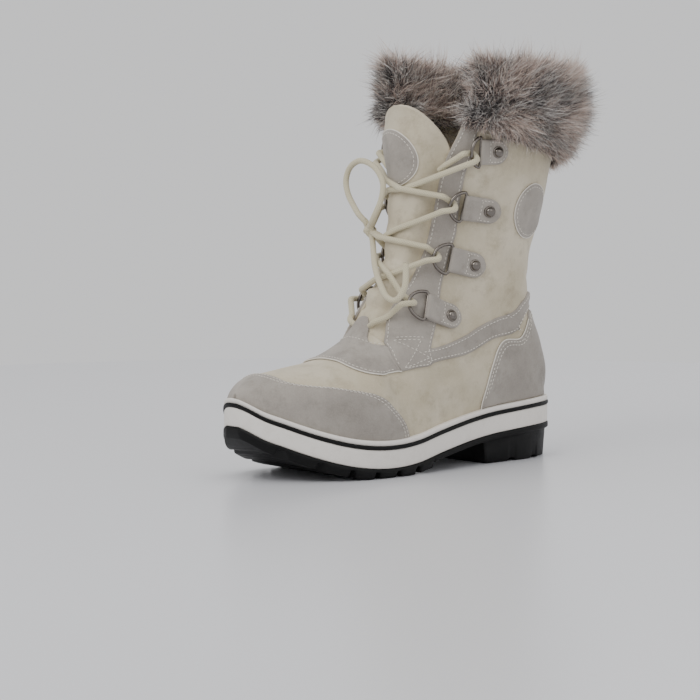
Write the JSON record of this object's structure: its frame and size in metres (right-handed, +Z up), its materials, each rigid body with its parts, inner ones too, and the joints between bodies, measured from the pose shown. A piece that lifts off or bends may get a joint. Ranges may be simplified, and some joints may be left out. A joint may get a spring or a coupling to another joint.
{
  "type": "snow boot",
  "caption": "Lace-up snow boot for the left foot with a moulded heeled sole, a hollow leather leg, lace rings and a deep fur collar.",
  "frame": {"origin": "bottom centre of the boot without its free lace, on the floor it stands on", "axes": "+Z up, toe towards -Y, heel towards +Y, outer side of the left foot towards +X"},
  "size_m": [0.167, 0.306, 0.2963],
  "materials": {
    "cream_leather": "matt nubuck, mottled cream",
    "grey_leather": "matt nubuck, light grey",
    "white_rubber": "satin moulded white",
    "black_rubber": "matt moulded black",
    "lining": "short pile lining",
    "gunmetal": "dark polished gunmetal",
    "cord": "round braided lace, cream",
    "fur": "long pile, dark with pale tips"
  },
  "bodies": {
    "root": {"outsole": "black_rubber", "sole_stripe": "black_rubber", "midsole": "white_rubber", "insole": "lining", "upper": "cream_leather", "tongue": "cream_leather", "toe_rand": "grey_leather", "heel_counter": "grey_leather", "ankle_strap": "grey_leather", "eyestay_lateral": "grey_leather", "eyestay_medial": "grey_leather", "vamp_band": "grey_leather", "shaft_patch": "grey_leather", "tongue_patch": "grey_leather", "lace_crossings": "cord", "lace_bow": "cord", "lace_end": "cord", "fur_collar": "fur", "lace_tab_lateral_1": "grey_leather", "d_ring_lateral_1": "gunmetal", "rivet_lateral_1": "gunmetal", "lace_tab_lateral_2": "grey_leather", "d_ring_lateral_2": "gunmetal", "rivet_lateral_2": "gunmetal", "lace_tab_lateral_3": "grey_leather", "d_ring_lateral_3": "gunmetal", "rivet_lateral_3": "gunmetal", "lace_tab_lateral_4": "grey_leather", "d_ring_lateral_4": "gunmetal", "rivet_lateral_4": "gunmetal", "lace_tab_medial_1": "grey_leather", "d_ring_medial_1": "gunmetal", "rivet_medial_1": "gunmetal", "lace_tab_medial_2": "grey_leather", "d_ring_medial_2": "gunmetal", "rivet_medial_2": "gunmetal", "lace_tab_medial_3": "grey_leather", "d_ring_medial_3": "gunmetal", "rivet_medial_3": "gunmetal", "lace_tab_medial_4": "grey_leather", "d_ring_medial_4": "gunmetal", "rivet_medial_4": "gunmetal"}
  },
  "joints": []
}
